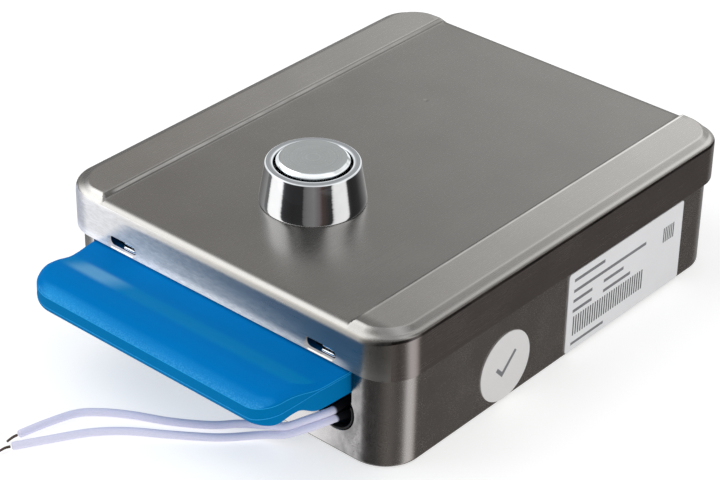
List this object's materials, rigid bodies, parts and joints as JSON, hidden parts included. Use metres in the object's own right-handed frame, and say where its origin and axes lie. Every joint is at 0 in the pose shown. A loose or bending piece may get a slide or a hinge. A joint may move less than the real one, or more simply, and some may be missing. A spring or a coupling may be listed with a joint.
{
  "type": "electric rim lock",
  "caption": "Surface-mounted stainless electric rim lock with a pivoting moulded blade bolt, a release button on the cover and trailing supply wires.",
  "frame": {"origin": "centre of the flat mounting face (bottom of the case)", "axes": "+Z from the mounting face to the cover, the blade bolt points to -Y, the data label faces +X"},
  "size_m": [0.104, 0.1799, 0.0468],
  "materials": {
    "stainless_brushed": "brushed along the length, satin",
    "stainless_case": "dull grained stainless sheet",
    "chrome": "polished",
    "cap_metal": "fine turned satin",
    "blue_nylon": "fine moulded grain",
    "steel": "machined",
    "zinc_plate": "zinc plated sheet",
    "spring_steel": "drawn wire",
    "copper_winding": "enamelled wire",
    "black_plastic": "moulded",
    "black_rubber": "matte",
    "wire_insulation": "smooth PVC",
    "bare_conductor": "dull tinned strand",
    "lead_insulation": "smooth PVC",
    "label_film": "matte printed film",
    "sticker_film": "satin film"
  },
  "bodies": {
    "housing": {"cover": "stainless_brushed", "case_shell": "stainless_case", "button_collar": "chrome", "cover_catch_left": "chrome", "cover_catch_right": "chrome", "bolt_pivot_pin": "steel", "lever_pin": "steel", "solenoid_pole": "steel", "cover_screw_left": "steel", "cover_screw_right": "steel", "solenoid_screw_left": "steel", "solenoid_screw_right": "steel", "retainer_screw_front": "steel", "retainer_screw_rear": "steel", "terminal_screw_1": "steel", "terminal_screw_2": "steel", "pivot_bracket_left": "zinc_plate", "pivot_bracket_right": "zinc_plate", "lever_bracket": "zinc_plate", "solenoid_frame": "zinc_plate", "hub_retainer": "zinc_plate", "collar_nut": "zinc_plate", "cover_nut_left": "zinc_plate", "cover_nut_right": "zinc_plate", "bolt_spring": "spring_steel", "lever_spring": "spring_steel", "plunger_spring": "spring_steel", "button_spring": "spring_steel", "solenoid_coil": "copper_winding", "solenoid_bobbin": "black_plastic", "terminal_block": "black_plastic", "cable_edge_guard": "black_rubber", "supply_wire_1": "wire_insulation", "supply_wire_2": "wire_insulation", "wire_conductor_1": "bare_conductor", "wire_conductor_2": "bare_conductor", "coil_lead_1": "lead_insulation", "coil_lead_2": "lead_insulation", "data_label": "label_film", "round_sticker": "sticker_film"},
    "blade": {"bolt_blade": "blue_nylon", "bolt_core": "steel"},
    "locking_lever": {"locking_lever": "steel"},
    "release_rocker": {"release_rocker": "zinc_plate"},
    "plunger": {"solenoid_plunger": "steel", "plunger_clip": "spring_steel"},
    "button": {"button_cap": "cap_metal", "button_stem": "steel", "stem_clip": "spring_steel"},
    "key_hub": {"key_hub": "zinc_plate"}
  },
  "joints": [
    {"name": "blade_swing", "type": "hinge", "parent": "housing", "child": "blade", "pos_m": [0, -0.0596, 0.0204], "axis": [1, 0, 0], "range_deg": [0, 30]},
    {"name": "locking_lever_turn", "type": "hinge", "parent": "housing", "child": "locking_lever", "pos_m": [-0.0145, -0.038, 0.013], "axis": [-1, 0, 0], "range_deg": [0, 28]},
    {"name": "plunger_pull", "type": "slide", "parent": "housing", "child": "plunger", "axis": [0, 1, 0], "range_m": [0, 0.00376], "deforming": ["plunger_spring"]},
    {"name": "button_press", "type": "slide", "parent": "housing", "child": "button", "axis": [0, 0, -1], "range_m": [0, 0.003], "deforming": ["button_spring"]},
    {"name": "release_rocker_turn", "type": "hinge", "parent": "housing", "child": "release_rocker", "pos_m": [-0.006, -0.038, 0.013], "axis": [-1, 0, 0], "range_deg": [0, 17]},
    {"name": "key_hub_turn", "type": "hinge", "parent": "housing", "child": "key_hub", "pos_m": [0, -0.032, 0.005], "axis": [0, 0, 1], "range_deg": [-60, 60]}
  ],
  "couplings": [
    {"joint": "locking_lever_turn", "follows": "blade_swing", "ratio": 0.93333},
    {"joint": "plunger_pull", "follows": "blade_swing", "m_per_rad": 0.0071811},
    {"joint": "release_rocker_turn", "follows": "button_press", "rad_per_m": 98.902}
  ]
}
